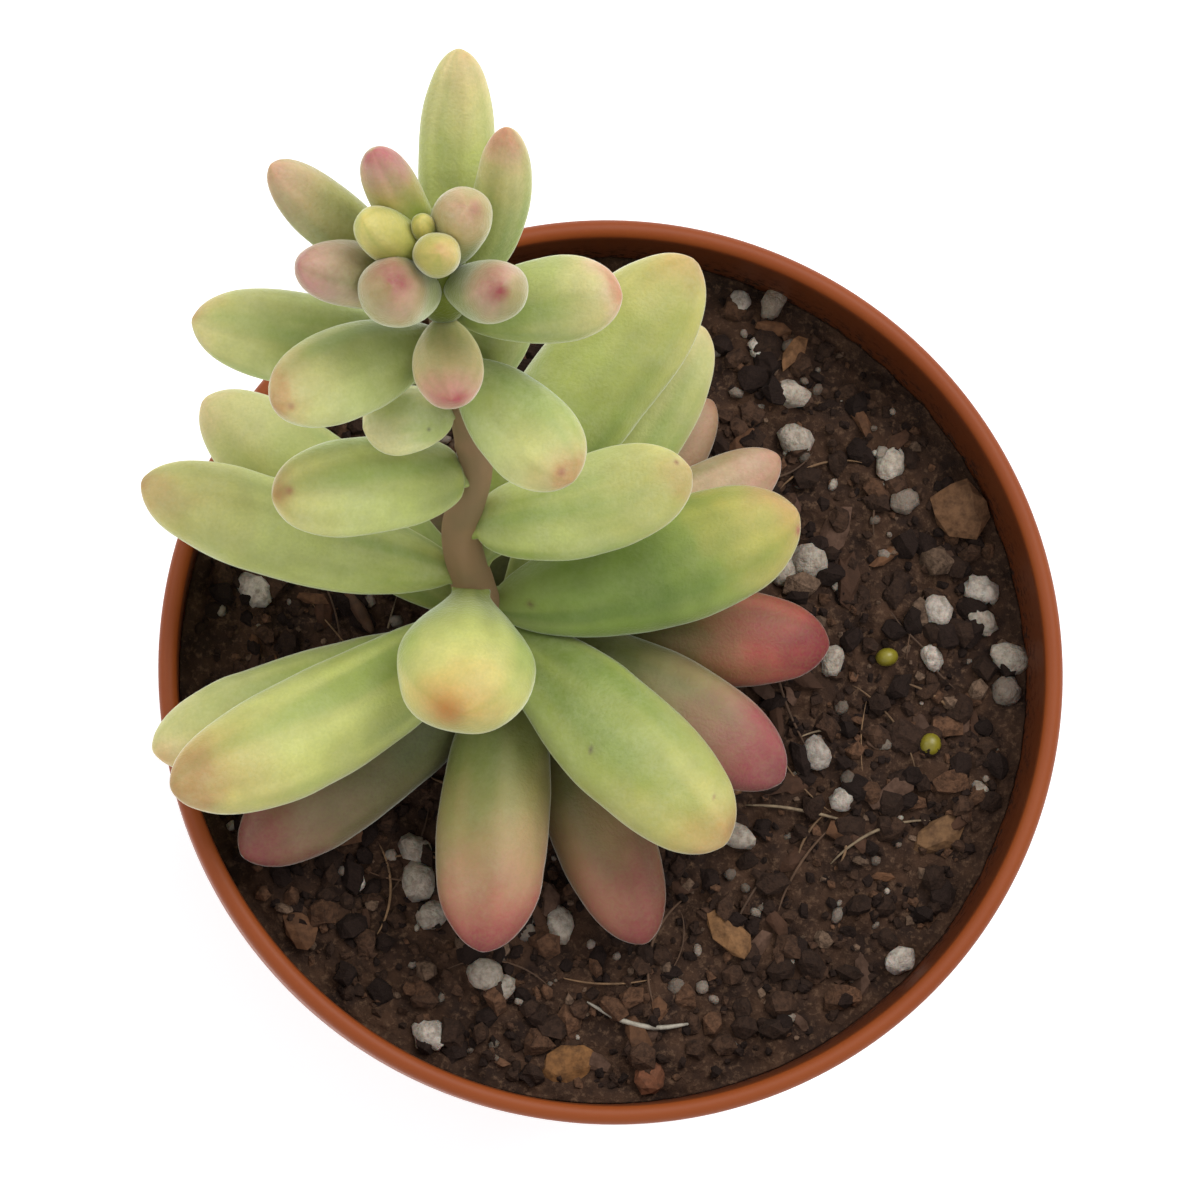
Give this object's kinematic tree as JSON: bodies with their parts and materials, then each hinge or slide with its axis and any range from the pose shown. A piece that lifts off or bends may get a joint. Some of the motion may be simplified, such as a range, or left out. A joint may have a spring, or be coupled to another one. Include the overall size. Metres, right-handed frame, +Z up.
{
  "type": "potted jelly bean plant",
  "caption": "Small stonecrop with fat bean-shaped leaves on one leaning stem, in soil in a round plastic nursery pot with a rim band and drain holes.",
  "frame": {"origin": "middle of the pot's underside, on the surface that it stands on", "axes": "+Z up; seen from above with +X to the right, +Y is to the back, where the head of the plant leans"},
  "size_m": [0.0664, 0.0691, 0.103],
  "materials": {
    "terracotta_plastic": "satin, injection-moulded",
    "potting_mix": "rough, crumbly peat with perlite",
    "stem_bark": "rough, dull",
    "leaf": "waxy bloom over a fleshy green body",
    "head_leaf": "waxy bloom over a fleshy green body, pink tip",
    "low_leaf": "waxy bloom over a fleshy body, red tip",
    "young_leaf": "waxy bloom, yellow-green with pink tips"
  },
  "bodies": {
    "root": {"crown": "young_leaf", "leaf_head_back": "head_leaf", "leaf_head_back_left": "head_leaf", "leaf_head_back_right": "head_leaf", "leaf_head_front": "head_leaf", "leaf_head_front_left": "head_leaf", "leaf_head_front_right": "head_leaf", "leaf_head_left": "head_leaf", "leaf_head_right": "head_leaf", "leaf_low_back": "low_leaf", "leaf_low_back_left": "low_leaf", "leaf_low_back_right": "low_leaf", "leaf_low_front": "low_leaf", "leaf_low_front_left": "low_leaf", "leaf_low_front_right": "low_leaf", "leaf_low_right": "low_leaf", "leaf_low_right_back": "low_leaf", "leaf_low_right_front": "low_leaf", "leaf_mid_back": "leaf", "leaf_mid_high_left": "leaf", "leaf_mid_left": "leaf", "leaf_mid_right": "leaf", "leaf_whorl_back_left": "leaf", "leaf_whorl_back_right": "leaf", "leaf_whorl_front": "leaf", "leaf_whorl_front_left": "leaf", "leaf_whorl_front_right": "leaf", "leaf_whorl_high_back_right": "leaf", "leaf_whorl_left": "leaf", "leaf_whorl_low_left": "leaf", "leaf_whorl_right": "leaf", "pot": "terracotta_plastic", "soil": "potting_mix", "stem": "stem_bark"}
  },
  "joints": []
}
